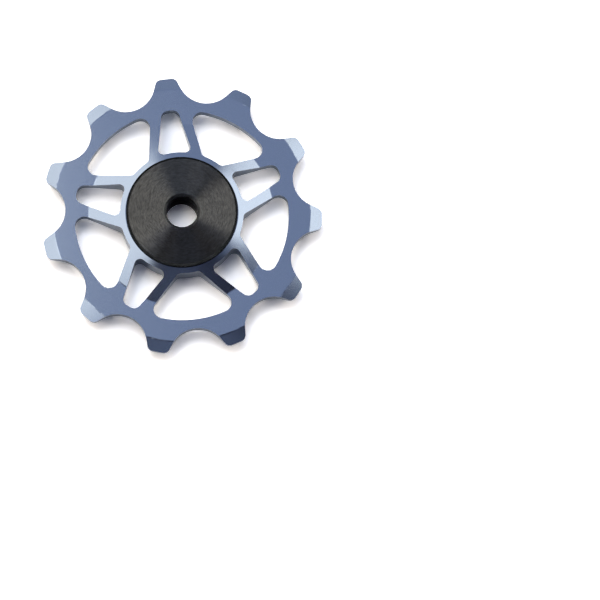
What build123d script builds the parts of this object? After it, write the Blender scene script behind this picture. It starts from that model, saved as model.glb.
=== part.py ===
from build123d import *
from math import asin, degrees, pi, sin
import os

# Derailleur jockey wheel: a toothed, spoked aluminium wheel that turns on a sealed ball bearing,
# between two turned covers. All lengths are millimetres, and the wheel's axis is Z.

# Bicycle chain that runs over the teeth
chain_pitch = 12.7
roller_diameter = 7.75
root_clearance = 0.06

# Teeth
tooth_count = 11
tooth_height = 3.93
tooth_gap_radius = 4.7
tooth_flank_angle = 19
tooth_corner_radius = 1.0
tip_bevel_width = 1.93
tip_thickness = 0.82

# Rim, spokes and hub of the wheel
rim_thickness = 2.0
rim_wall = 1.45
rim_flat_width = 3.8
hub_rise = 1.7
crease_radius = 0.8
hub_wall = 0.83
boss_wall = 1.1
recess_depth = 0.6
spoke_pairs = 5
spoke_rim_width = 1.85
spoke_hub_width = 1.6
small_window_rim_width = 2.6
small_window_hub_width = 5.66
small_window_rim_corner = 1.2
large_window_rim_corner = 1.5
window_hub_corner = 0.9

# Ball bearing
bearing_bore = 7.0
bearing_outside = 14.0
bearing_width = 5.0
bearing_corner = 0.2
ball_count = 8
ball_diameter = 2.0
ball_clearance = 0.01
groove_relief = 0.04
inner_shoulder_height = 0.36
outer_shoulder_height = 0.41

# Cage that spaces the balls
cage_width = 0.9
cage_web = 0.3
cage_prong_height = 0.55
cage_slot_width = 1.1
cage_slot_depth = 0.75
pocket_clearance = 0.05

# Seals
seal_thickness = 0.45
seal_recess = 0.15
seal_mouth_step = 0.2
seal_bead_depth = 0.3
seal_lip_taper = 0.2
seal_lip_clearance = 0.08
seal_seat_clearance = 0.02

# Covers
axle_bore = 5.0
cover_plate = 0.85
cover_gap = 0.25
cover_edge_gap = 0.12
skirt_wall = 0.54
skirt_clearance = 0.25
cover_edge_chamfer = 0.35
bore_chamfer = 0.38
shoulder_step = 0.25
spigot_gap = 0.2
spigot_chamfer = 0.15

# Fits between pieces that sit in one another
seat_clearance = 0.01

# Radii of the toothed wheel, from the chain and the bearing
pitch_radius = chain_pitch / (2 * sin(pi / tooth_count))
root_radius = pitch_radius - roller_diameter / 2 - root_clearance
tip_radius = root_radius + tooth_height
gap_centre_radius = root_radius + tooth_gap_radius
window_rim_radius = root_radius - rim_wall
cone_edge_radius = root_radius - rim_flat_width
bearing_seat_radius = bearing_outside / 2 + seat_clearance
boss_radius = bearing_seat_radius + boss_wall
skirt_radius = boss_radius + skirt_clearance
cover_radius = skirt_radius + skirt_wall
recess_radius = cover_radius + cover_edge_gap
hub_radius = recess_radius + hub_wall

# Heights above the wheel's middle plane
rim_half = rim_thickness / 2
tip_half = tip_thickness / 2
hub_half = rim_half + hub_rise
recess_floor = hub_half - recess_depth
bearing_half = bearing_width / 2
plate_bottom = bearing_half + cover_gap
cover_top = plate_bottom + cover_plate
skirt_bottom = recess_floor + skirt_clearance
spigot_end = spigot_gap / 2

# Radii inside the bearing
ball_radius = ball_diameter / 2
ball_circle_radius = (bearing_bore + bearing_outside) / 4
inner_groove_bottom = ball_circle_radius - ball_radius - ball_clearance
outer_groove_bottom = ball_circle_radius + ball_radius + ball_clearance
groove_radius = ball_radius + groove_relief
inner_shoulder_radius = inner_groove_bottom + inner_shoulder_height
outer_shoulder_radius = outer_groove_bottom - outer_shoulder_height
inner_ring_wall = inner_shoulder_radius - bearing_bore / 2
outer_ring_wall = bearing_outside / 2 - outer_shoulder_radius
seal_mouth_radius = outer_shoulder_radius + seal_mouth_step
seal_bead_radius = seal_mouth_radius + seal_bead_depth
seal_lip_radius = inner_shoulder_radius + seal_lip_clearance

# Heights inside the bearing, above its middle plane
seal_top = bearing_half - seal_recess
seal_bottom = seal_top - seal_thickness
seal_groove_bottom = seal_bottom - seal_seat_clearance
seal_groove_width = seal_thickness + 2 * seal_seat_clearance

os.makedirs("parts", exist_ok=True)


def window_sketch(rim_width, hub_width, rim_corner):
    """Window centred on +Y between the hub circle and the rim circle, from its width at each."""
    rim_half_angle = degrees(asin(rim_width / 2 / window_rim_radius))
    hub_half_angle = degrees(asin(hub_width / 2 / hub_radius))
    with BuildSketch() as window:
        with BuildLine():
            rim_arc = CenterArc((0, 0), window_rim_radius, 90 - rim_half_angle, 2 * rim_half_angle)
            hub_arc = CenterArc((0, 0), hub_radius, 90 - hub_half_angle, 2 * hub_half_angle)
            Line(hub_arc @ 0, rim_arc @ 0)
            Line(hub_arc @ 1, rim_arc @ 1)
        make_face()
        rim_corners = window.vertices().sort_by(Axis.Y)[-2:]
        fillet(rim_corners, rim_corner)
        hub_corners = window.vertices().sort_by(Axis.Y)[:2]
        fillet(hub_corners, window_hub_corner)
    return window.sketch


def large_window_width(small_width, spoke_width, radius):
    """Width that two small windows and a spoke beside each leave for the large window between them."""
    taken_angle = asin(small_width / 2 / radius) + spoke_width / radius
    return 2 * radius * sin(pi / spoke_pairs - taken_angle)


# Toothed wheel: a turned section, cut to its toothed and spoked outline
small_window = window_sketch(small_window_rim_width, small_window_hub_width, small_window_rim_corner)
large_window = window_sketch(
    large_window_width(small_window_rim_width, spoke_rim_width, window_rim_radius),
    large_window_width(small_window_hub_width, spoke_hub_width, hub_radius),
    large_window_rim_corner,
)
first_gap_angle = 90 + 180 / tooth_count
gap_half_angle = tooth_flank_angle + 180 / tooth_count
flank_reach = tooth_height + tooth_gap_radius

# Gap between two teeth, open towards +X: a round root and a straight flank at each side
with BuildSketch() as tooth_gap:
    with BuildLine():
        root_arc = CenterArc((0, 0), tooth_gap_radius, 90 + gap_half_angle, 180 - 2 * gap_half_angle)
        left_flank = PolarLine(root_arc @ 0, flank_reach, gap_half_angle)
        right_flank = PolarLine(root_arc @ 1, flank_reach, -gap_half_angle)
        Line(left_flank @ 1, right_flank @ 1)
    make_face()

with BuildSketch() as wheel_outline:
    with PolarLocations(0, 1, start_angle=first_gap_angle):
        Circle(tip_radius)
    with PolarLocations(gap_centre_radius, tooth_count, start_angle=first_gap_angle):
        add(tooth_gap.sketch, mode=Mode.SUBTRACT)
    tip_corners = wheel_outline.vertices().sort_by(SortBy.DISTANCE)[-2 * tooth_count:]
    fillet(tip_corners, tooth_corner_radius)
    with PolarLocations(0, spoke_pairs):
        add(small_window, mode=Mode.SUBTRACT)
    with PolarLocations(0, spoke_pairs, start_angle=180 / spoke_pairs):
        add(large_window, mode=Mode.SUBTRACT)

with BuildPart() as pulley_wheel:
    with BuildSketch(Plane.XZ) as wheel_section:
        with BuildLine():
            Polyline(
                (bearing_seat_radius, 0),
                (bearing_seat_radius, bearing_half),
                (boss_radius, bearing_half),
                (boss_radius, recess_floor),
                (recess_radius, recess_floor),
                (recess_radius, hub_half),
                (cone_edge_radius, rim_half),
                (tip_radius - tip_bevel_width, rim_half),
                (tip_radius, tip_half),
                (tip_radius, 0),
                close=True,
            )
        make_face()
        creases = wheel_section.vertices().filter_by_position(Axis.Y, rim_half, rim_half)
        fillet(creases, crease_radius)
        mirror(about=Plane.XZ)
    revolve(axis=Axis.Z)
    extrude(wheel_outline.sketch, amount=cover_top, both=True, mode=Mode.INTERSECT)

pulley_wheel.part.label = "pulley_wheel"
export_step(pulley_wheel.part, "parts/pulley_wheel.step")

# Bearing rings, each with the groove that the balls run in; the outer one also holds the seals
with BuildPart() as bearing_inner_ring:
    with BuildSketch(Plane.XZ) as inner_section:
        with Locations((bearing_bore / 2, 0)):
            Rectangle(inner_ring_wall, bearing_half, align=Align.MIN)
        chamfer(inner_section.vertices().group_by(Axis.Y)[-1].sort_by(Axis.X)[0], bearing_corner)
        with Locations((inner_groove_bottom + groove_radius, 0)):
            Circle(groove_radius, mode=Mode.SUBTRACT)
        mirror(about=Plane.XZ)
    revolve(axis=Axis.Z)

bearing_inner_ring.part.label = "bearing_inner_ring"
export_step(bearing_inner_ring.part, "parts/bearing_inner_ring.step")

with BuildPart() as bearing_outer_ring:
    with BuildSketch(Plane.XZ) as outer_section:
        with Locations((outer_shoulder_radius, 0)):
            Rectangle(outer_ring_wall, bearing_half, align=Align.MIN)
        chamfer(outer_section.vertices().group_by(Axis.Y)[-1].sort_by(Axis.X)[-1], bearing_corner)
        with Locations((outer_groove_bottom - groove_radius, 0)):
            Circle(groove_radius, mode=Mode.SUBTRACT)
        with Locations((0, seal_groove_bottom)):
            Rectangle(seal_bead_radius, seal_groove_width, align=Align.MIN, mode=Mode.SUBTRACT)
            Rectangle(seal_mouth_radius, bearing_half, align=Align.MIN, mode=Mode.SUBTRACT)
        mirror(about=Plane.XZ)
    revolve(axis=Axis.Z)

bearing_outer_ring.part.label = "bearing_outer_ring"
export_step(bearing_outer_ring.part, "parts/bearing_outer_ring.step")

# Balls, one solid each, evenly spaced round the ball circle
for ball_index in range(ball_count):
    with BuildPart() as ball:
        with PolarLocations(ball_circle_radius, 1, start_angle=360 * ball_index / ball_count):
            Sphere(ball_radius)
    ball.part.label = f"ball_{ball_index + 1}"
    export_step(ball.part, f"parts/ball_{ball_index + 1}.step")

# Crown cage: a ring with a round pocket for each ball, slotted between the pockets into springy prongs
pocket_radius = ball_radius + pocket_clearance
cage_bottom = pocket_radius + cage_web

with BuildPart() as ball_cage:
    with BuildSketch(Plane.XY.offset(-cage_bottom)):
        Circle(ball_circle_radius + cage_width / 2)
        Circle(ball_circle_radius - cage_width / 2, mode=Mode.SUBTRACT)
    extrude(amount=cage_bottom + cage_prong_height)
    with PolarLocations(ball_circle_radius, ball_count):
        Sphere(pocket_radius, mode=Mode.SUBTRACT)
    with BuildSketch(Plane.XY.offset(cage_prong_height)):
        with PolarLocations(ball_circle_radius, ball_count, start_angle=180 / ball_count):
            Rectangle(2 * cage_width, cage_slot_width)
    extrude(amount=-cage_slot_depth, mode=Mode.SUBTRACT)

ball_cage.part.label = "ball_cage"
export_step(ball_cage.part, "parts/ball_cage.step")

# Seals, snapped into the outer ring and just clear of the inner ring
with BuildPart() as front_seal:
    with BuildSketch(Plane.XZ):
        with BuildLine():
            Polyline(
                (seal_lip_radius, seal_bottom),
                (seal_lip_radius, seal_top - seal_lip_taper),
                (seal_lip_radius + seal_lip_taper, seal_top),
                (seal_bead_radius - seal_seat_clearance, seal_top),
                (seal_bead_radius - seal_seat_clearance, seal_bottom),
                close=True,
            )
        make_face()
    revolve(axis=Axis.Z)

front_seal.part.label = "front_seal"
export_step(front_seal.part, "parts/front_seal.step")

with BuildPart() as rear_seal:
    mirror(front_seal.part, about=Plane.XY)

rear_seal.part.label = "rear_seal"
export_step(rear_seal.part, "parts/rear_seal.step")

# Covers: a turned plate with a skirt over the boss, a shoulder on the inner ring and a spigot through it
spigot_radius = bearing_bore / 2 - seat_clearance
shoulder_radius = inner_shoulder_radius - shoulder_step

with BuildPart() as front_cover:
    with BuildSketch(Plane.XZ):
        with BuildLine():
            Polyline(
                (axle_bore / 2, spigot_end),
                (axle_bore / 2, cover_top - bore_chamfer),
                (axle_bore / 2 + bore_chamfer, cover_top),
                (cover_radius - cover_edge_chamfer, cover_top),
                (cover_radius, cover_top - cover_edge_chamfer),
                (cover_radius, skirt_bottom),
                (skirt_radius, skirt_bottom),
                (skirt_radius, plate_bottom),
                (shoulder_radius, plate_bottom),
                (shoulder_radius, bearing_half),
                (spigot_radius, bearing_half),
                (spigot_radius, spigot_end + spigot_chamfer),
                (spigot_radius - spigot_chamfer, spigot_end),
                close=True,
            )
        make_face()
    revolve(axis=Axis.Z)

front_cover.part.label = "front_cover"
export_step(front_cover.part, "parts/front_cover.step")

with BuildPart() as rear_cover:
    mirror(front_cover.part, about=Plane.XY)

rear_cover.part.label = "rear_cover"
export_step(rear_cover.part, "parts/rear_cover.step")
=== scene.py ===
"""Looks of a derailleur jockey wheel: the finish of each of its pieces, and the studio that shows it."""

import math
from typing import NamedTuple

import bpy
from bpy.props import FloatProperty, FloatVectorProperty, PointerProperty
from mathutils import Matrix, Vector


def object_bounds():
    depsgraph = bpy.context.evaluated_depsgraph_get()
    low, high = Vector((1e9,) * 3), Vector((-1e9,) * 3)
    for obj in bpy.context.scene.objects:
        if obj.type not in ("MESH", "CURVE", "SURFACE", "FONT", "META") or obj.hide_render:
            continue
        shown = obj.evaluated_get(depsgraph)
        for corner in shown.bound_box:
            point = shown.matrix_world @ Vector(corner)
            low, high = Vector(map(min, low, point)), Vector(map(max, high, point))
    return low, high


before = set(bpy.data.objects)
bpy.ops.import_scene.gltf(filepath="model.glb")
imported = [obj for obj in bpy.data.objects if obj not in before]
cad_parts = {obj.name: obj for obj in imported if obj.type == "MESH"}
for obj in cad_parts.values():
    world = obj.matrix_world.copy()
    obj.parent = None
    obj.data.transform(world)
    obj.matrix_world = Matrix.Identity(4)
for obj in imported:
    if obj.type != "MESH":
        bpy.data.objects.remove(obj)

bl_info = {
    "name": "Jockey wheel looks",
    "version": (1, 0, 0),
    "blender": (4, 5, 0),
    "location": "View3D > Sidebar > Jockey wheel",
    "description": "Finishes the pieces of a derailleur jockey wheel and sets up its studio",
    "category": "Material",
}

CAD_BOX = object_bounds()
MM = 0.001

# Nodes that share a finish
WHEEL = ("pulley_wheel",)
COVERS = ("front_cover", "rear_cover")
RINGS = ("bearing_inner_ring", "bearing_outer_ring")
SEALS = ("front_seal", "rear_seal")
CAGE = ("ball_cage",)
BALLS = tuple(sorted(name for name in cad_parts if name.startswith("ball_") and name not in CAGE))

# A wave texture repeats every 2 pi / 20 at scale 1, and a noise texture about once per unit
WAVE_PERIOD = 2 * math.pi / 20
# Most values of a noise texture lie between these two
NOISE_LOW = 0.3
NOISE_HIGH = 0.7
# Share of a surface's normal that points along the axle: at most the first on a wall, which gets the full
# painted shade, and at least the second on a face, which gets none
WALL_SHARE = 0.3
FACE_SHARE = 0.8
# Height of a fine grain, before the strength of its bump
GRAIN_DEPTH = 0.01 * MM
# A quarter of a turn, which draws out the sheen across the circles of the lathe
ACROSS_CIRCLES = 0.25
# A ray has had no matt bounce or at least one, so a half tells the two apart
HALF_A_BOUNCE = 0.5
# Strength at which the surroundings show as white
WHITE = 1.0


def linear(code):
    """Linear colour of an sRGB hex value such as #8090A0."""
    channels = [int(code[start:start + 2], 16) / 255 for start in (1, 3, 5)]
    return tuple(c / 12.92 if c <= 0.04045 else ((c + 0.055) / 1.055) ** 2.4 for c in channels)


def add_node(tree, kind, inputs=None, **settings):
    """Adds a node with its settings, and sets or links each input that is given."""
    node = tree.nodes.new(kind)
    for name, value in settings.items():
        setattr(node, name, value)
    for key, value in (inputs or {}).items():
        if isinstance(value, bpy.types.NodeSocket):
            tree.links.new(value, node.inputs[key])
        else:
            node.inputs[key].default_value = value
    return node


def new_material(name):
    """An empty node material."""
    material = bpy.data.materials.new(name)
    material.use_nodes = True
    material.node_tree.nodes.clear()
    return material


def dress(node_names, material):
    """Gives CAD nodes their finish."""
    for name in node_names:
        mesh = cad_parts[name].data
        mesh.materials.clear()
        mesh.materials.append(material)


class WheelFinish(bpy.types.PropertyGroup):
    """Finish of the toothed wheel."""

    colour: FloatVectorProperty(
        name="Slate colour", description="Dyed oxide over bright aluminium", subtype="COLOR",
        min=0, max=1, default=linear("#657181"),
    )
    # Painted shade: the milled walls get this darker colour, so that they look shaded
    painted_wall_shade: FloatVectorProperty(
        name="Wall colour", description="The same dye on the milled walls, which take more of it",
        subtype="COLOR", min=0, max=1, default=linear("#3E4753"),
    )
    slant_tint: FloatVectorProperty(
        name="Slant tint", description="What the dyed oxide leaves of light mirrored at a slant",
        subtype="COLOR", min=0, max=1, default=linear("#D8DDE5"),
    )
    roughness: FloatProperty(
        name="Roughness", description="Satin left by the etch", subtype="FACTOR",
        min=0, max=1, default=0.185,
    )
    roughness_spread: FloatProperty(
        name="Roughness spread", description="How far the grain changes the roughness either way",
        subtype="FACTOR", min=0, max=1, default=0.02,
    )
    grain: FloatProperty(
        name="Etch grain", description="Width of one grain of the etched skin, drawn coarse enough to show",
        unit="LENGTH", min=0.01 * MM, max=1 * MM, precision=5, default=0.1 * MM,
    )
    grain_strength: FloatProperty(
        name="Grain strength", description="How strongly the grain breaks up the sheen",
        subtype="FACTOR", min=0, max=1, default=0.045,
    )
    turning_pitch: FloatProperty(
        name="Turning pitch", description="Feed of the lathe on the wheel, drawn coarse enough to show",
        unit="LENGTH", min=0.02 * MM, max=1 * MM, precision=5, default=0.2 * MM,
    )
    turning_strength: FloatProperty(
        name="Turning strength", description="How strongly the lathe's rings show through the etch",
        subtype="FACTOR", min=0, max=1, default=0.02,
    )


class CoverFinish(bpy.types.PropertyGroup):
    """Finish of the two covers."""

    colour: FloatVectorProperty(
        name="Black colour", description="Black dyed oxide", subtype="COLOR",
        min=0, max=1, default=linear("#343637"),
    )
    # Painted shade: the bore and the rim get this darker colour, so that they look shaded
    painted_wall_shade: FloatVectorProperty(
        name="Wall colour", description="The same dye on the bore and the rim, which take more of it",
        subtype="COLOR", min=0, max=1, default=linear("#1A1B1C"),
    )
    slant_tint: FloatVectorProperty(
        name="Slant tint", description="What the dyed oxide leaves of light mirrored at a slant",
        subtype="COLOR", min=0, max=1, default=linear("#9A9A9A"),
    )
    roughness: FloatProperty(
        name="Roughness", description="Sheen of the turned face", subtype="FACTOR",
        min=0, max=1, default=0.26,
    )
    stretch: FloatProperty(
        name="Sheen stretch", description="How far the grooves draw out the sheen", subtype="FACTOR",
        min=0, max=1, default=0.8,
    )
    turning_pitch: FloatProperty(
        name="Turning pitch", description="Feed of the lathe tool, drawn coarse enough to show",
        unit="LENGTH", min=0.02 * MM, max=1 * MM, precision=5, default=0.16 * MM,
    )
    groove_depth: FloatProperty(
        name="Groove depth", description="Depth of one turned groove, to suit the coarse pitch",
        unit="LENGTH", min=0, max=0.1 * MM, precision=5, default=0.012 * MM,
    )
    groove_lean: FloatProperty(
        name="Groove lean", description="Slope of the long outer flank of each turned groove",
        subtype="FACTOR", min=0, max=1, default=0.28,
    )
    streak_width: FloatProperty(
        name="Streak width", description="Width of one streak of the tool, drawn coarse enough to show",
        unit="LENGTH", min=0.02 * MM, max=1 * MM, precision=5, default=0.14 * MM,
    )
    streak_start: FloatProperty(
        name="Streak start", description="Radius where a streak is as long as wide, and beyond it longer",
        unit="LENGTH", min=0.1 * MM, max=10 * MM, precision=5, default=1.2 * MM,
    )
    streak_dark: FloatProperty(
        name="Dark streak", description="Brightness of the darkest streak against the dye",
        min=0, default=0.45,
    )
    streak_light: FloatProperty(
        name="Light streak", description="Brightness of the lightest streak against the dye",
        min=0, default=1.5,
    )


class BearingFinish(bpy.types.PropertyGroup):
    """Finishes of the bearing's pieces."""

    steel: FloatVectorProperty(
        name="Steel colour", description="Ground bearing steel", subtype="COLOR",
        min=0, max=1, default=linear("#C6C8CB"),
    )
    line_length: FloatProperty(
        name="Grinding line length", description="Length of one hair line round a ring",
        unit="LENGTH", min=0.01 * MM, max=10 * MM, precision=5, default=0.5 * MM,
    )
    line_ratio: FloatProperty(
        name="Grinding line ratio", description="How many times longer than wide a hair line is",
        min=1, default=40,
    )
    bright_line: FloatProperty(
        name="Bright line", description="Roughness of the smoothest hair lines", subtype="FACTOR",
        min=0, max=1, default=0.12,
    )
    dull_line: FloatProperty(
        name="Dull line", description="Roughness of the roughest hair lines", subtype="FACTOR",
        min=0, max=1, default=0.28,
    )
    ceramic: FloatVectorProperty(
        name="Ball colour", description="Polished silicon nitride", subtype="COLOR",
        min=0, max=1, default=linear("#2A2B2E"),
    )
    ceramic_roughness: FloatProperty(
        name="Ball roughness", description="Polish left by the lapping", subtype="FACTOR",
        min=0, max=1, default=0.06,
    )
    mottle: FloatProperty(
        name="Ball mottle", description="Width of one cloud of the ceramic, drawn coarse enough to show",
        unit="LENGTH", min=0.01 * MM, max=1 * MM, precision=5, default=0.2 * MM,
    )
    mottle_gain: FloatProperty(
        name="Mottle gain", description="Brightness of the palest clouds against the ball colour",
        min=1, default=1.4,
    )
    nylon: FloatVectorProperty(
        name="Cage colour", description="Natural moulded nylon", subtype="COLOR",
        min=0, max=1, default=linear("#D8CFB8"),
    )
    nylon_roughness: FloatProperty(
        name="Cage roughness", description="Dull sheen of the mould", subtype="FACTOR",
        min=0, max=1, default=0.45,
    )
    nylon_grain: FloatProperty(
        name="Cage grain", description="Width of one grain of the mould",
        unit="LENGTH", min=0.01 * MM, max=1 * MM, precision=5, default=0.1 * MM,
    )
    rubber: FloatVectorProperty(
        name="Seal colour", description="Moulded nitrile rubber", subtype="COLOR",
        min=0, max=1, default=linear("#232324"),
    )
    rubber_roughness: FloatProperty(
        name="Seal roughness", description="Matt skin of the rubber", subtype="FACTOR",
        min=0, max=1, default=0.65,
    )
    rubber_grain: FloatProperty(
        name="Seal grain", description="Width of one grain of the mould",
        unit="LENGTH", min=0.01 * MM, max=1 * MM, precision=5, default=0.06 * MM,
    )
    mould_strength: FloatProperty(
        name="Mould strength", description="How strongly the grain of the moulds shows", subtype="FACTOR",
        min=0, max=1, default=0.3,
    )


class Studio(bpy.types.PropertyGroup):
    """Camera, lamps and floor, in a frame turned with the picture."""

    wheel_turn: FloatProperty(
        name="Wheel turn", description="How far the wheel is turned against the clock in the picture",
        subtype="ANGLE", default=math.radians(7.0),
    )
    camera_place: FloatVectorProperty(
        name="Camera place", description="Where the camera stands", subtype="TRANSLATION", unit="LENGTH",
        default=(-4.275 * MM, -87.476 * MM, 430 * MM),
    )
    camera_aim: FloatVectorProperty(
        name="Camera aim", description="Point at the middle of the picture", subtype="TRANSLATION",
        unit="LENGTH", default=(19.0 * MM, -13.573 * MM, 0),
    )
    lens: FloatProperty(
        name="Lens", description="Focal length on a 36 mm sensor", unit="CAMERA", min=1, default=163.85,
    )
    floor_colour: FloatVectorProperty(
        name="Floor colour", description="White paper", subtype="COLOR", min=0, max=1,
        default=linear("#EFF0EE"),
    )
    floor_gain: FloatProperty(
        name="Floor exposure", description="How far the eye and mirrors see the paper overexposed",
        min=1, max=3, default=1.65,
    )
    even_light: FloatProperty(
        name="Even light", description="Light that matt surfaces get from all round", min=0, default=0.08,
    )
    lamp_height: FloatProperty(
        name="Lamp height", description="Height of the plane that the lamps hang in", unit="LENGTH",
        min=0.1, default=0.6,
    )
    softbox_colour: FloatVectorProperty(
        name="Softbox colour", description="Slightly warm lamps", subtype="COLOR", min=0, max=1,
        default=linear("#FFF5E9"),
    )
    panel_colour: FloatVectorProperty(
        name="Panel colour", description="Slightly cool panels", subtype="COLOR", min=0, max=1,
        default=linear("#DCE5FF"),
    )
    paper_lamp_colour: FloatVectorProperty(
        name="Paper lamp colour", description="Nearly neutral light", subtype="COLOR", min=0, max=1,
        default=linear("#EEF3FF"),
    )
    left_light: FloatProperty(
        name="Left softbox", description="Brightness of the softbox at the left", min=0, default=4.4,
    )
    left_lamp_light: FloatProperty(
        name="Left lamp", description="Brightness of the lamp at the inner edge of the left softbox",
        min=0, default=2.0,
    )
    left_spill_light: FloatProperty(
        name="Left spill", description="Brightness of the spill in front of the left softbox",
        min=0, default=2.0,
    )
    right_light: FloatProperty(
        name="Right softbox", description="Brightness of the softbox at the right", min=0, default=5.25,
    )
    right_spill_light: FloatProperty(
        name="Right spill", description="Brightness of the spill in front of the right softbox",
        min=0, default=0.7,
    )
    strip_light: FloatProperty(
        name="Overhead strip", description="Brightness of the strip beside the left softbox",
        min=0, default=6.2,
    )
    top_light: FloatProperty(
        name="Overhead panel", description="Brightness of the dim panel overhead", min=0, default=1.25,
    )
    back_light: FloatProperty(
        name="Back panel", description="Brightness of the dim panel at the back", min=0, default=1.25,
    )
    front_light: FloatProperty(
        name="Front panel", description="Brightness of the faint panel at the front", min=0, default=0.68,
    )
    paper_light: FloatProperty(
        name="Paper lamp", description="Brightness of the small lamp that no metal mirrors",
        min=0, default=9.0,
    )
    cloth_colour: FloatVectorProperty(
        name="Cloth colour", description="Dark cloth over the set and round it", subtype="COLOR",
        min=0, max=1, default=linear("#595475"),
    )


def dyed(tree, finish):
    """Colour of the dye, lighter where the surface faces along the axle, with painted shade on the cut
    walls round it: a darker colour there, so that the walls look shaded."""
    normal = add_node(tree, "ShaderNodeTexCoord").outputs["Normal"]
    parts = add_node(tree, "ShaderNodeSeparateXYZ", {"Vector": normal})
    along = add_node(tree, "ShaderNodeMath", {0: parts.outputs["Z"]}, operation="ABSOLUTE")
    share = add_node(
        tree, "ShaderNodeMapRange",
        {"Value": along.outputs["Value"], "From Min": WALL_SHARE, "From Max": FACE_SHARE},
    )
    # Painted shade: the walls take the darker colour, blended into the dye of the faces
    dye = add_node(
        tree, "ShaderNodeMix",
        {"Factor": share.outputs["Result"], "A": (*finish.painted_wall_shade, 1), "B": (*finish.colour, 1)},
        data_type="RGBA",
    )
    return dye.outputs["Result"]


def anodised_slate(finish):
    """Anodised aluminium, machined and then etched to a satin skin. The metal still mirrors the lamps
    through the dyed oxide, spread to a soft sheen by the etch, with faint rings from the lathe. At a slant
    the light goes a longer way through the dye, so walls don't mirror the white round them in full. The
    grain and the rings are drawn coarser than they are, so that they show."""
    material = new_material("anodised_aluminium_etched_slate")
    tree = material.node_tree
    place = add_node(tree, "ShaderNodeTexCoord").outputs["Object"]
    grain = add_node(
        tree, "ShaderNodeTexNoise",
        {"Vector": place, "Scale": 1 / finish.grain, "Detail": 2.0, "Roughness": 0.6},
    )
    rings = add_node(
        tree, "ShaderNodeTexWave",
        {"Vector": place, "Scale": WAVE_PERIOD / finish.turning_pitch},
        wave_type="RINGS", rings_direction="Z",
    )
    roughness = add_node(
        tree, "ShaderNodeMapRange",
        {"Value": grain.outputs["Fac"], "From Min": NOISE_LOW, "From Max": NOISE_HIGH,
         "To Min": finish.roughness - finish.roughness_spread,
         "To Max": finish.roughness + finish.roughness_spread},
    )
    ring_bump = add_node(
        tree, "ShaderNodeBump",
        {"Strength": finish.turning_strength, "Distance": GRAIN_DEPTH, "Height": rings.outputs["Fac"]},
    )
    grain_bump = add_node(
        tree, "ShaderNodeBump",
        {"Strength": finish.grain_strength, "Distance": GRAIN_DEPTH, "Height": grain.outputs["Fac"],
         "Normal": ring_bump.outputs["Normal"]},
    )
    # The base colour holds painted shade: darker on the walls than on the faces
    skin = add_node(
        tree, "ShaderNodeBsdfPrincipled",
        {"Base Color": dyed(tree, finish), "Metallic": 1.0, "Roughness": roughness.outputs["Result"],
         "Specular Tint": (*finish.slant_tint, 1), "Normal": grain_bump.outputs["Normal"]},
    )
    add_node(tree, "ShaderNodeOutputMaterial", {"Surface": skin.outputs["BSDF"]})
    return material


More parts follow.
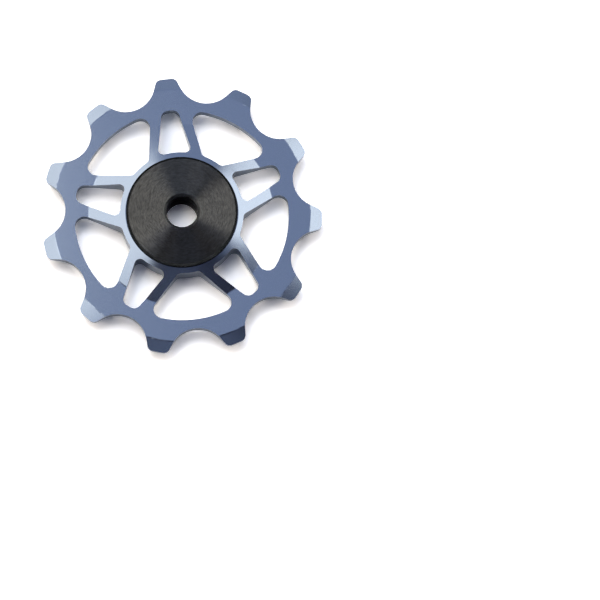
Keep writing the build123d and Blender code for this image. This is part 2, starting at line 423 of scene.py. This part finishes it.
def anodised_black(finish):
    """Anodised aluminium, turned and dyed black. The fine circles of the lathe spread each lamp's mirror
    image outwards from the middle, so the face shows a soft bow tie of light, broken up by the streaks of
    the tool. Each groove has a long flank that leans outwards, so the face mirrors lamps further out than a
    flat one. Grooves and streaks are drawn coarser than they are, so that they show."""
    material = new_material("anodised_aluminium_turned_black")
    tree = material.node_tree
    place = add_node(tree, "ShaderNodeTexCoord").outputs["Object"]
    rings = add_node(
        tree, "ShaderNodeTexWave",
        {"Vector": place, "Scale": WAVE_PERIOD / finish.turning_pitch},
        wave_type="RINGS", rings_direction="Z", wave_profile="SAW",
    )
    grooves = add_node(
        tree, "ShaderNodeBump",
        {"Strength": 1.0, "Distance": finish.groove_depth, "Height": rings.outputs["Fac"]}, invert=True,
    )
    # Streaks: noise over the radius and the way round, so that it runs in circles
    flat = add_node(tree, "ShaderNodeVectorMath", {0: place, 1: (1, 1, 0)}, operation="MULTIPLY")
    radius = add_node(tree, "ShaderNodeVectorMath", {0: flat.outputs["Vector"]}, operation="LENGTH")
    parts = add_node(tree, "ShaderNodeSeparateXYZ", {"Vector": place})
    angle = add_node(
        tree, "ShaderNodeMath", {0: parts.outputs["Y"], 1: parts.outputs["X"]}, operation="ARCTAN2",
    )
    way_round = add_node(
        tree, "ShaderNodeMath", {0: angle.outputs["Value"], 1: finish.streak_start}, operation="MULTIPLY",
    )
    polar = add_node(
        tree, "ShaderNodeCombineXYZ",
        {"X": radius.outputs["Value"], "Y": way_round.outputs["Value"], "Z": parts.outputs["Z"]},
    )
    streaks = add_node(
        tree, "ShaderNodeTexNoise",
        {"Vector": polar.outputs["Vector"], "Scale": 1 / finish.streak_width,
         "Detail": 3.0, "Roughness": 0.7},
    )
    tone = add_node(
        tree, "ShaderNodeMapRange",
        {"Value": streaks.outputs["Fac"], "From Min": NOISE_LOW, "From Max": NOISE_HIGH,
         "To Min": finish.streak_dark, "To Max": finish.streak_light},
    )
    # The dye holds painted shade: darker on the bore and the rim than on the face
    streaked = add_node(
        tree, "ShaderNodeVectorMath", {0: dyed(tree, finish), "Scale": tone.outputs["Result"]},
        operation="SCALE",
    )
    # Lean: the grooves' normal with a share of the way outwards added
    outward = add_node(tree, "ShaderNodeVectorMath", {0: flat.outputs["Vector"]}, operation="NORMALIZE")
    in_world = add_node(
        tree, "ShaderNodeVectorTransform", {"Vector": outward.outputs["Vector"]},
        vector_type="VECTOR", convert_from="OBJECT", convert_to="WORLD",
    )
    lean = add_node(
        tree, "ShaderNodeVectorMath",
        {0: in_world.outputs["Vector"], "Scale": finish.groove_lean}, operation="SCALE",
    )
    leaning = add_node(
        tree, "ShaderNodeVectorMath",
        {0: grooves.outputs["Normal"], 1: lean.outputs["Vector"]}, operation="ADD",
    )
    normal = add_node(tree, "ShaderNodeVectorMath", {0: leaning.outputs["Vector"]}, operation="NORMALIZE")
    around = add_node(tree, "ShaderNodeTangent", direction_type="RADIAL", axis="Z")
    skin = add_node(
        tree, "ShaderNodeBsdfPrincipled",
        {"Base Color": streaked.outputs["Vector"], "Metallic": 1.0, "Roughness": finish.roughness,
         "Specular Tint": (*finish.slant_tint, 1), "Anisotropic": finish.stretch,
         "Anisotropic Rotation": ACROSS_CIRCLES, "Tangent": around.outputs["Tangent"],
         "Normal": normal.outputs["Vector"]},
    )
    add_node(tree, "ShaderNodeOutputMaterial", {"Surface": skin.outputs["BSDF"]})
    return material


def ground_steel(finish):
    """Bearing steel, hardened and ground. Bright, with hair lines round the ring."""
    material = new_material("bearing_steel_ground")
    tree = material.node_tree
    place = add_node(tree, "ShaderNodeTexCoord").outputs["Object"]
    squeezed = add_node(tree, "ShaderNodeMapping", {"Vector": place, "Scale": (1, 1, finish.line_ratio)})
    lines = add_node(
        tree, "ShaderNodeTexNoise", {"Vector": squeezed.outputs["Vector"], "Scale": 1 / finish.line_length},
    )
    roughness = add_node(
        tree, "ShaderNodeMapRange",
        {"Value": lines.outputs["Fac"], "To Min": finish.bright_line, "To Max": finish.dull_line},
    )
    skin = add_node(
        tree, "ShaderNodeBsdfPrincipled",
        {"Base Color": (*finish.steel, 1), "Metallic": 1.0, "Roughness": roughness.outputs["Result"]},
    )
    add_node(tree, "ShaderNodeOutputMaterial", {"Surface": skin.outputs["BSDF"]})
    return material


def lapped_ceramic(finish):
    """Silicon nitride, sintered and lapped. Near black and as glossy as glass, with a faint grey mottle,
    drawn coarser than it is, so that it shows."""
    material = new_material("silicon_nitride_lapped")
    tree = material.node_tree
    place = add_node(tree, "ShaderNodeTexCoord").outputs["Object"]
    mottle = add_node(
        tree, "ShaderNodeTexNoise", {"Vector": place, "Scale": 1 / finish.mottle, "Detail": 3.0},
    )
    pale = [channel * finish.mottle_gain for channel in finish.ceramic]
    tone = add_node(
        tree, "ShaderNodeMix",
        {"Factor": mottle.outputs["Fac"], "A": (*finish.ceramic, 1), "B": (*pale, 1)}, data_type="RGBA",
    )
    skin = add_node(
        tree, "ShaderNodeBsdfPrincipled",
        {"Base Color": tone.outputs["Result"], "Roughness": finish.ceramic_roughness, "IOR": 2.0},
    )
    add_node(tree, "ShaderNodeOutputMaterial", {"Surface": skin.outputs["BSDF"]})
    return material


def moulded(name, colour, roughness, grain, strength):
    """Nylon or rubber from a spark-eroded mould. Matt, with a fine even grain."""
    material = new_material(name)
    tree = material.node_tree
    place = add_node(tree, "ShaderNodeTexCoord").outputs["Object"]
    texture = add_node(tree, "ShaderNodeTexNoise", {"Vector": place, "Scale": 1 / grain, "Detail": 2.0})
    bump = add_node(
        tree, "ShaderNodeBump",
        {"Strength": strength, "Distance": GRAIN_DEPTH, "Height": texture.outputs["Fac"]},
    )
    skin = add_node(
        tree, "ShaderNodeBsdfPrincipled",
        {"Base Color": (*colour, 1), "Roughness": roughness, "Normal": bump.outputs["Normal"]},
    )
    add_node(tree, "ShaderNodeOutputMaterial", {"Surface": skin.outputs["BSDF"]})
    return material


class JOCKEY_OT_finish_wheel(bpy.types.Operator):
    """Anodise the toothed wheel"""

    bl_idname = "jockey.finish_wheel"
    bl_label = "Finish toothed wheel"

    def execute(self, context):
        dress(WHEEL, anodised_slate(context.scene.jockey_wheel))
        return {"FINISHED"}


class JOCKEY_OT_finish_covers(bpy.types.Operator):
    """Anodise the two turned covers black"""

    bl_idname = "jockey.finish_covers"
    bl_label = "Finish covers"

    def execute(self, context):
        dress(COVERS, anodised_black(context.scene.jockey_covers))
        return {"FINISHED"}


class JOCKEY_OT_finish_bearing(bpy.types.Operator):
    """Finish the bearing's rings, balls, cage and seals"""

    bl_idname = "jockey.finish_bearing"
    bl_label = "Finish bearing"

    def execute(self, context):
        finish = context.scene.jockey_bearing
        nylon = moulded(
            "nylon_moulded", finish.nylon, finish.nylon_roughness, finish.nylon_grain,
            finish.mould_strength,
        )
        rubber = moulded(
            "nitrile_rubber_moulded", finish.rubber, finish.rubber_roughness, finish.rubber_grain,
            finish.mould_strength,
        )
        dress(RINGS, ground_steel(finish))
        dress(BALLS, lapped_ceramic(finish))
        dress(CAGE, nylon)
        dress(SEALS, rubber)
        return {"FINISHED"}


def white_to_the_eye(tree):
    """One for rays from the camera, mirrors and glass, so that all of them see the same white ground. None
    for rays that a matt surface has sent on, so that the white lights nothing."""
    path = add_node(tree, "ShaderNodeLightPath")
    seen = add_node(
        tree, "ShaderNodeMath",
        {0: path.outputs["Is Camera Ray"], 1: path.outputs["Is Glossy Ray"]}, operation="ADD",
    )
    through = add_node(
        tree, "ShaderNodeMath",
        {0: seen.outputs["Value"], 1: path.outputs["Is Transmission Ray"]}, operation="ADD", use_clamp=True,
    )
    direct = add_node(
        tree, "ShaderNodeMath", {0: path.outputs["Diffuse Depth"], 1: HALF_A_BOUNCE}, operation="LESS_THAN",
    )
    white = add_node(
        tree, "ShaderNodeMath",
        {0: through.outputs["Value"], 1: direct.outputs["Value"]}, operation="MULTIPLY",
    )
    return white.outputs["Value"]


def paper_floor(studio):
    """Matt white paper. It takes the shadows, and the eye sees it overexposed, as white."""
    material = new_material("paper_matt_white")
    tree = material.node_tree
    exposed = [channel * studio.floor_gain for channel in studio.floor_colour]
    shade = add_node(
        tree, "ShaderNodeMix",
        {"Factor": white_to_the_eye(tree), "A": (*studio.floor_colour, 1), "B": (*exposed, 1)},
        data_type="RGBA",
    )
    skin = add_node(tree, "ShaderNodeBsdfDiffuse", {"Color": shade.outputs["Result"]})
    add_node(tree, "ShaderNodeOutputMaterial", {"Surface": skin.outputs["BSDF"]})
    return material


def dark_cloth(studio):
    """Dull cotton. It is seen only in the metal, as the dark between the lamps."""
    material = new_material("cotton_cloth_dark_grey")
    tree = material.node_tree
    skin = add_node(
        tree, "ShaderNodeBsdfPrincipled", {"Base Color": (*studio.cloth_colour, 1), "Roughness": 1.0},
    )
    add_node(tree, "ShaderNodeOutputMaterial", {"Surface": skin.outputs["BSDF"]})
    return material


def add_sheets(name, corners, faces, material):
    """Flat stage sheets between the corners that are given."""
    mesh = bpy.data.meshes.new(name)
    mesh.from_pydata(corners, [], faces)
    mesh.materials.append(material)
    sheet = bpy.data.objects.new(name, mesh)
    bpy.context.scene.collection.objects.link(sheet)
    return sheet


def looking_at(place, aim, up):
    """Matrix of a camera at a place that points its -Z at an aim, with its Y towards up."""
    back = (place - aim).normalized()
    right = up.cross(back).normalized()
    above = back.cross(right)
    matrix = Matrix((right, above, back)).transposed().to_4x4()
    matrix.translation = place
    return matrix


class Lamp(NamedTuple):
    """A flat lamp that faces down, with its stretch of X and of Y, the settings that hold its brightness
    and its colour, and whether metal mirrors it."""

    name: str
    across: tuple
    along: tuple
    brightness: str
    colour: str
    in_metal: bool = True


# Places of the lamps, in metres from the axle: first the edges where they meet
LEFT_INNER = -0.19
LEFT_FRONT = -0.215
RIGHT_INNER = 0.29
RIGHT_OUTER = 0.57
RIGHT_FRONT = -0.055
PANEL_BACK = 0.54

LAMPS = (
    Lamp("left_softbox", (-0.55, LEFT_INNER), (LEFT_FRONT, 0.66), "left_light", "softbox_colour"),
    Lamp("left_lamp", (-0.3, LEFT_INNER), (-0.15, 0.18), "left_lamp_light", "softbox_colour"),
    Lamp("left_spill", (-0.5, -0.215), (-0.3, LEFT_FRONT), "left_spill_light", "panel_colour"),
    Lamp("right_softbox", (RIGHT_INNER, RIGHT_OUTER), (RIGHT_FRONT, 0.51), "right_light", "softbox_colour"),
    Lamp("right_spill", (0.21, RIGHT_OUTER), (-0.14, RIGHT_FRONT), "right_spill_light", "panel_colour"),
    Lamp("overhead_strip", (LEFT_INNER, -0.072), (0.03, 0.2), "strip_light", "softbox_colour"),
    Lamp("overhead_panel", (LEFT_INNER, RIGHT_INNER), (RIGHT_FRONT, PANEL_BACK), "top_light",
         "panel_colour"),
    Lamp("back_panel", (-0.42, 0.3), (PANEL_BACK, 0.8), "back_light", "panel_colour"),
    Lamp("front_panel", (-0.15, 0.3), (-0.5, -0.265), "front_light", "panel_colour"),
    Lamp("paper_lamp", (-0.18, 0.08), (0.06, 0.32), "paper_light", "paper_lamp_colour", in_metal=False),
)


class JOCKEY_OT_build_studio(bpy.types.Operator):
    """Build the floor, the lamps, the surroundings and the camera"""

    bl_idname = "jockey.build_studio"
    bl_label = "Build studio"

    # Reach from the axle and height, in metres
    FLOOR_REACH = 3.0
    FLAG_REACH = 1.0
    FLAG_HEIGHT = 0.8
    WALL_REACH = 1.2
    WALL_HEIGHT = 0.2
    # Sensor in millimetres, and the nearest that the camera sees in metres
    SENSOR_WIDTH = 36
    NEAREST = 0.01

    def execute(self, context):
        scene = context.scene
        studio = scene.jockey_studio
        turned = Matrix.Rotation(-studio.wheel_turn, 4, "Z")
        scene.view_settings.view_transform = "Standard"
        self.add_floor(studio)
        self.add_lamps(scene, studio, turned)
        self.add_cloths(studio, turned)
        self.add_world(scene, studio)
        self.add_camera(scene, studio, turned)
        return {"FINISHED"}

    def square(self, reach, level, turned):
        """Corners of a level square round the origin."""
        plan = ((-reach, -reach), (reach, -reach), (reach, reach), (-reach, reach))
        return [turned @ Vector((x, y, level)) for x, y in plan]

    def add_floor(self, studio):
        """Paper under the object."""
        corners = self.square(self.FLOOR_REACH, CAD_BOX[0].z, Matrix.Identity(4))
        add_sheets("floor", corners, [(0, 1, 2, 3)], paper_floor(studio))

    def add_lamps(self, scene, studio, turned):
        """A softbox at each side, dim panels overhead, at the back and at the front, and a small lamp that
        sharpens the shadows on the paper."""
        for lamp in LAMPS:
            light = bpy.data.lights.new(lamp.name, "AREA")
            light.shape = "RECTANGLE"
            light.size = lamp.across[1] - lamp.across[0]
            light.size_y = lamp.along[1] - lamp.along[0]
            # At a power of pi times its area, the face of a lamp has a brightness of 1
            light.energy = getattr(studio, lamp.brightness) * math.pi * light.size * light.size_y
            light.color = getattr(studio, lamp.colour)
            middle = (sum(lamp.across) / 2, sum(lamp.along) / 2, studio.lamp_height)
            panel = bpy.data.objects.new(lamp.name, light)
            panel.matrix_world = turned @ Matrix.Translation(middle)
            panel.visible_camera = False
            panel.visible_glossy = lamp.in_metal
            scene.collection.objects.link(panel)

    def add_cloths(self, studio, turned):
        """Dark cloth over the set and low round it, which the slopes that face no lamp mirror."""
        cloth = dark_cloth(studio)
        flag = self.square(self.FLAG_REACH, self.FLAG_HEIGHT, turned)
        foot = self.square(self.WALL_REACH, CAD_BOX[0].z, turned)
        top = self.square(self.WALL_REACH, self.WALL_HEIGHT, turned)
        sides = [(0, 1, 5, 4), (1, 2, 6, 5), (2, 3, 7, 6), (3, 0, 4, 7)]
        sheets = (
            add_sheets("flag", flag, [(0, 1, 2, 3)], cloth),
            add_sheets("low_wall", foot + top, sides, cloth),
        )
        for sheet in sheets:
            sheet.visible_camera = False

    def add_world(self, scene, studio):
        """White surroundings for the eye and for mirrors, and a little even light."""
        world = bpy.data.worlds.new("studio_surroundings")
        world.use_nodes = True
        tree = world.node_tree
        tree.nodes.clear()
        strength = add_node(
            tree, "ShaderNodeMapRange",
            {"Value": white_to_the_eye(tree), "To Min": studio.even_light, "To Max": WHITE},
        )
        glow = add_node(
            tree, "ShaderNodeBackground", {"Color": (1, 1, 1, 1), "Strength": strength.outputs["Result"]},
        )
        add_node(tree, "ShaderNodeOutputWorld", {"Surface": glow.outputs["Background"]})
        scene.world = world

    def add_camera(self, scene, studio, turned):
        """Camera nearly overhead, a little to the front."""
        lens = bpy.data.cameras.new("camera")
        lens.lens = studio.lens
        lens.sensor_width = self.SENSOR_WIDTH
        lens.clip_start = self.NEAREST
        camera = bpy.data.objects.new("camera", lens)
        place = Vector(studio.camera_place)
        aim = Vector(studio.camera_aim)
        camera.matrix_world = turned @ looking_at(place, aim, Vector((0, 1, 0)))
        scene.collection.objects.link(camera)
        scene.camera = camera


# Each group of settings, and the step that uses it
SETTINGS = {
    "jockey_wheel": WheelFinish,
    "jockey_covers": CoverFinish,
    "jockey_bearing": BearingFinish,
    "jockey_studio": Studio,
}
STEPS = (JOCKEY_OT_finish_wheel, JOCKEY_OT_finish_covers, JOCKEY_OT_finish_bearing, JOCKEY_OT_build_studio)


class JOCKEY_PT_looks(bpy.types.Panel):
    """Steps that make the looks, and the sizes and colours they use"""

    bl_idname = "JOCKEY_PT_looks"
    bl_label = "Jockey wheel"
    bl_space_type = "VIEW_3D"
    bl_region_type = "UI"
    bl_category = "Jockey wheel"

    def draw(self, context):
        for group, step in zip(SETTINGS, STEPS):
            box = self.layout.box()
            settings = getattr(context.scene, group)
            for name in settings.__annotations__:
                box.prop(settings, name)
            box.operator(step.bl_idname)


CLASSES = (*SETTINGS.values(), *STEPS, JOCKEY_PT_looks)


def register():
    for cls in CLASSES:
        bpy.utils.register_class(cls)
    for name, group in SETTINGS.items():
        setattr(bpy.types.Scene, name, PointerProperty(type=group))


def unregister():
    for name in SETTINGS:
        delattr(bpy.types.Scene, name)
    for cls in reversed(CLASSES):
        bpy.utils.unregister_class(cls)


def main():
    """Runs every step."""
    register()
    bpy.ops.jockey.finish_wheel()
    bpy.ops.jockey.finish_covers()
    bpy.ops.jockey.finish_bearing()
    bpy.ops.jockey.build_studio()


if __name__ == "__main__":
    main()
